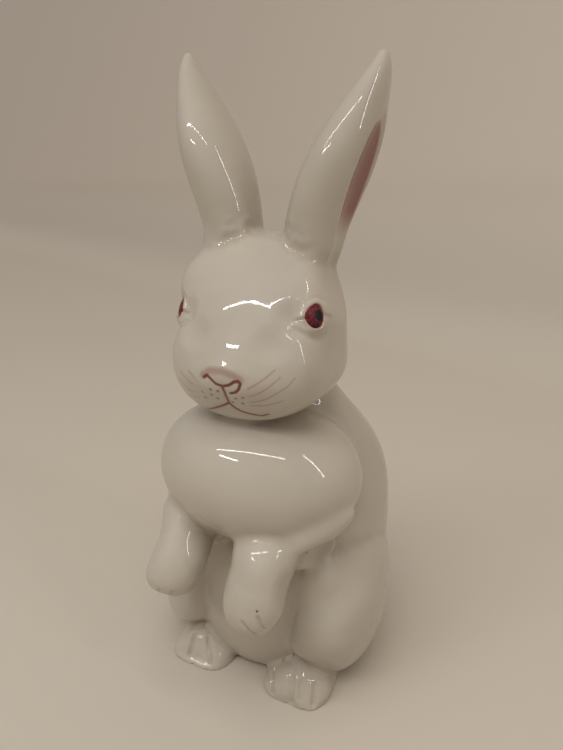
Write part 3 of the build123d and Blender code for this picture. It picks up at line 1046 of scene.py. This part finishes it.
class FIGURINE_OT_ears(bpy.types.Operator):
    """Glazes both ears and tints their hollow sides"""

    bl_idname = "figurine.ears"
    bl_label = "Ears"

    def execute(self, context):
        tone = colours()
        for node in ("left_ear", "right_ear"):
            piece = patch_of(node, "glazed_" + node)
            paint_pool_and_shade(piece, node)
            paint(piece, "ear_blush", self.hollow_mask(piece))
            piece.data.materials.append(glaze_of("porcelain_glaze_ear", (("ear_blush", tone.blush),)))
            put_up(piece, node)
        return {"FINISHED"}

    def hollow_mask(self, piece):
        """How far each vertex lies under the ear's convex wrap on the side turned outwards."""
        wrap = piece.copy()
        wrap.data = piece.data.copy()
        bpy.context.scene.collection.objects.link(wrap)
        select_only(wrap)
        bpy.ops.object.mode_set(mode="EDIT")
        bpy.ops.mesh.select_all(action="SELECT")
        bpy.ops.mesh.convex_hull()
        bpy.ops.object.mode_set(mode="OBJECT")
        points = points_of(piece)
        depths = gap_to(tree_of(wrap), points)
        bpy.data.objects.remove(wrap)
        side = float(np.sign(points[:, 0].mean()))
        facing = smooth_step(normals_of(piece)[:, 0] * side, 0.35, 0.6)
        root = HOLLOW_ROOTS[side] * MM
        blade = smooth_step(points[:, 2], root, root + HOLLOW_FADE * MM)
        aside = np.abs(points[:, 1] - HOLLOW_MIDDLE * MM)
        spill = smooth_step(aside, HOLLOW_HALF_WIDTH * MM, (HOLLOW_HALF_WIDTH + 2.0) * MM)
        return smooth_step(depths, 0.6 * MM, 1.2 * MM) * facing * blade * (1.0 - spill)


class FIGURINE_OT_forelegs(bpy.types.Operator):
    """Glazes the two hanging forelegs with their claw grooves"""

    bl_idname = "figurine.forelegs"
    bl_label = "Forelegs"

    def execute(self, context):
        for node in ("left_foreleg", "right_foreleg"):
            glaze_limb(node, lambda at: (at[:, 1] < -PAW_START * MM) & (at[:, 2] < PAW_TOP * MM))
        return {"FINISHED"}


class FIGURINE_OT_haunches(bpy.types.Operator):
    """Glazes the two haunches"""

    bl_idname = "figurine.haunches"
    bl_label = "Haunches"

    def execute(self, context):
        for node in ("left_haunch", "right_haunch"):
            glaze_limb(node)
        return {"FINISHED"}


class FIGURINE_OT_hind_feet(bpy.types.Operator):
    """Glazes the two hind feet with their toe grooves"""

    bl_idname = "figurine.hind_feet"
    bl_label = "Hind feet"

    def execute(self, context):
        for node in ("left_hind_foot", "right_hind_foot"):
            glaze_limb(node, lambda at: at[:, 1] < -TOES_START * MM)
        return {"FINISHED"}


class FIGURINE_OT_tail(bpy.types.Operator):
    """Glazes the round tail"""

    bl_idname = "figurine.tail"
    bl_label = "Tail"

    def execute(self, context):
        glaze_limb("tail")
        return {"FINISHED"}


class FIGURINE_OT_eyes(bpy.types.Operator):
    """Sets mottled red glass with dark pupils, painted shade low in the glass and painted glints into both
    eye sockets
    """

    bl_idname = "figurine.eyes"
    bl_label = "Eyes"

    def execute(self, context):
        for side, node in ((1.0, "left_eye"), (-1.0, "right_eye")):
            piece = node_copy(node, "glass_" + node)
            finish_with(piece, "REMESH", mode="VOXEL", voxel_size=0.22 * MM, use_smooth_shade=True)
            finish_with(piece, "SMOOTH", factor=0.5, iterations=4)
            local = on_eye(points_of(piece), side) / MM
            gap = np.hypot((local[:, 0] - 1.3) / 2.1, (local[:, 1] + 0.3) / 2.3)
            # Painted shade: a dark patch low in the glass, painted together with the dark centre
            dark = np.hypot((local[:, 0] + 0.3) / 1.6, (local[:, 1] + 4.3) / 1.3)
            shade = 0.7 * (1.0 - smooth_step(dark, 0.5, 1.3))
            paint(piece, "pupil_and_lower_shade", np.maximum(1.0 - smooth_step(gap, 0.8, 1.15), shade))
            piece.data.materials.append(self.glass())
            put_up(piece, node)
        return {"FINISHED"}

    def glass(self):
        ready = bpy.data.materials.get("red_glass")
        if ready:
            return ready
        finish = Finish("red_glass")
        tone = colours()
        mottle = finish.ramp(finish.noise(900.0, 3.0, 0.6), 0.42, 0.62)
        base = finish.mix(mottle, tinted(tone.eye_glass, 0.35), tone.eye_glass)
        # Painted glints: bright pinkish specks that stand in for light caught in the glass
        painted_glints = finish.ramp(finish.noise(2300.0, 1.0), 0.66, 0.74)
        base = finish.mix(painted_glints, base, (0.42, 0.20, 0.17))
        base = finish.mix(finish.mask("pupil_and_lower_shade"), base, (0.004, 0.003, 0.003))
        finish.set(Base_Color=base, Roughness=0.4, IOR=1.52, Specular_IOR_Level=0.3)
        return finish.material


class FIGURINE_OT_stage(bpy.types.Operator):
    """Sets up the floor, the backdrop, the lamps and the camera"""

    bl_idname = "figurine.stage"
    bl_label = "Stage"

    def execute(self, context):
        form = bpy.data.objects.get(FORM_NAME)
        if form:
            bpy.data.objects.remove(form)
        self.lay_sweep()
        self.hang_lamps()
        self.set_world()
        self.place_camera()
        context.scene.view_settings.view_transform = "Standard"
        return {"FINISHED"}

    def lay_sweep(self):
        """A floor that curves up into the backdrop, facing the camera."""
        bpy.ops.object.select_all(action="DESELECT")
        bpy.ops.mesh.primitive_plane_add(size=1.0)
        sweep = bpy.context.object
        sweep.name = "floor_sweep"
        bpy.ops.object.mode_set(mode="EDIT")
        bpy.ops.mesh.select_all(action="SELECT")
        bpy.ops.transform.resize(value=(SWEEP_WIDTH, SWEEP_DEPTH, 1.0))
        bpy.ops.transform.translate(value=(0.0, SWEEP_SHIFT, 0.0))
        bpy.ops.mesh.select_mode(type="EDGE")
        bpy.ops.mesh.select_all(action="DESELECT")
        bpy.ops.object.mode_set(mode="OBJECT")
        for edge in sweep.data.edges:
            ends = [sweep.data.vertices[i].co.y for i in edge.vertices]
            edge.select = min(ends) > 0.5
        bpy.ops.object.mode_set(mode="EDIT")
        bpy.ops.mesh.extrude_region_move(TRANSFORM_OT_translate={"value": (0.0, 0.0, BACKDROP_HEIGHT)})
        bpy.ops.mesh.select_all(action="DESELECT")
        bpy.ops.object.mode_set(mode="OBJECT")
        for edge in sweep.data.edges:
            ends = [sweep.data.vertices[i].co for i in edge.vertices]
            edge.select = all(end.y > 0.5 and end.z < 0.1 for end in ends)
        bpy.ops.object.mode_set(mode="EDIT")
        bpy.ops.mesh.bevel(offset=BEND_REACH, segments=24, profile=0.5)
        bpy.ops.mesh.select_all(action="SELECT")
        bpy.ops.transform.rotate(value=stage().camera_yaw, orient_axis="Z", center_override=(0.0, 0.0, 0.0))
        bpy.ops.mesh.normals_make_consistent(inside=False)
        bpy.ops.object.mode_set(mode="OBJECT")
        bpy.ops.object.shade_smooth()
        finish = Finish("sweep_paper")
        tone = colours()
        height = finish.node("ShaderNodeSeparateXYZ", {"Vector": finish.place()}).outputs["Z"]
        # Painted shade: the floor turns a little darker where it bends up into the backdrop
        bend = finish.mix(finish.ramp(height, 0.0, 0.10), tone.floor, tinted(tone.floor, 0.95))
        base = finish.mix(finish.ramp(height, 0.08, 0.34), bend, tone.backdrop)
        finish.set(Base_Color=base, Roughness=0.7)
        sweep.data.materials.append(finish.material)

    def hang_lamps(self):
        """Long thin lamps for the glaze's streaks and one wide soft one overhead."""
        aim = Vector(LAMP_AIM)
        for name, start, end, width, power in STRIP_LAMPS:
            start, end = Vector(start), Vector(end)
            place = (start + end) / 2
            bpy.ops.object.light_add(type="AREA", location=place)
            lamp = bpy.context.object
            lamp.name = name
            lamp.data.shape = "RECTANGLE"
            lamp.data.size, lamp.data.size_y = (end - start).length, width
            lamp.data.energy = power
            along = (end - start).normalized()
            back = (place - aim).normalized()
            back = (back - along * back.dot(along)).normalized()
            lamp.rotation_euler = Matrix((along, back.cross(along), back)).transposed().to_euler()
        bpy.ops.object.light_add(type="SUN", rotation=tuple(map(math.radians, CEILING_TURN)))
        lamp = bpy.context.object
        lamp.name = "ceiling_light"
        lamp.data.energy = CEILING_STRENGTH
        lamp.data.angle = math.radians(CEILING_SPREAD)
        lamp.data.color = (1.0, 0.98, 0.95)
        lamp.visible_glossy = False

    def set_world(self):
        world = bpy.data.worlds.new("studio_air")
        bpy.context.scene.world = world
        world.use_nodes = True
        background = world.node_tree.nodes["Background"]
        background.inputs["Color"].default_value = (1.0, 0.97, 0.93, 1.0)
        background.inputs["Strength"].default_value = AIR_STRENGTH

    def place_camera(self):
        shot = stage()
        bpy.ops.object.camera_add()
        camera = bpy.context.object
        right, up, ahead = camera_axes()
        turn = Matrix((right, up, -ahead)).transposed().to_4x4()
        camera.matrix_world = Matrix.Translation(Vector(shot.camera_place)) @ turn
        camera.data.lens = shot.camera_lens
        camera.data.sensor_width = SENSOR_WIDTH
        camera.data.clip_start = 0.01
        bpy.context.scene.camera = camera


class FIGURINE_PT_panel(bpy.types.Panel):
    """The figurine's pieces, sizes and colours"""

    bl_idname = "FIGURINE_PT_panel"
    bl_label = "Rabbit figurine"
    bl_space_type = "VIEW_3D"
    bl_region_type = "UI"
    bl_category = "Figurine"

    def draw(self, context):
        for operator in OPERATORS:
            self.layout.operator(operator.bl_idname)
        for group in (sizes(), colours(), stage()):
            for name in group.__annotations__:
                self.layout.prop(group, name)


PROPERTY_GROUPS = (FigurineSizes, FigurineColours, FigurineStage)
OPERATORS = (
    FIGURINE_OT_fired_form,
    FIGURINE_OT_torso,
    FIGURINE_OT_head,
    FIGURINE_OT_ears,
    FIGURINE_OT_forelegs,
    FIGURINE_OT_haunches,
    FIGURINE_OT_hind_feet,
    FIGURINE_OT_tail,
    FIGURINE_OT_eyes,
    FIGURINE_OT_stage,
)


def register():
    for item in (*PROPERTY_GROUPS, *OPERATORS, FIGURINE_PT_panel):
        bpy.utils.register_class(item)
    bpy.types.Scene.figurine_sizes = bpy.props.PointerProperty(type=FigurineSizes)
    bpy.types.Scene.figurine_colours = bpy.props.PointerProperty(type=FigurineColours)
    bpy.types.Scene.figurine_stage = bpy.props.PointerProperty(type=FigurineStage)


def unregister():
    del bpy.types.Scene.figurine_stage
    del bpy.types.Scene.figurine_colours
    del bpy.types.Scene.figurine_sizes
    for item in reversed((*PROPERTY_GROUPS, *OPERATORS, FIGURINE_PT_panel)):
        bpy.utils.unregister_class(item)


def main():
    register()
    bpy.ops.figurine.fired_form()
    bpy.ops.figurine.torso()
    bpy.ops.figurine.head()
    bpy.ops.figurine.ears()
    bpy.ops.figurine.forelegs()
    bpy.ops.figurine.haunches()
    bpy.ops.figurine.hind_feet()
    bpy.ops.figurine.tail()
    bpy.ops.figurine.eyes()
    bpy.ops.figurine.stage()


if __name__ == "__main__":
    main()
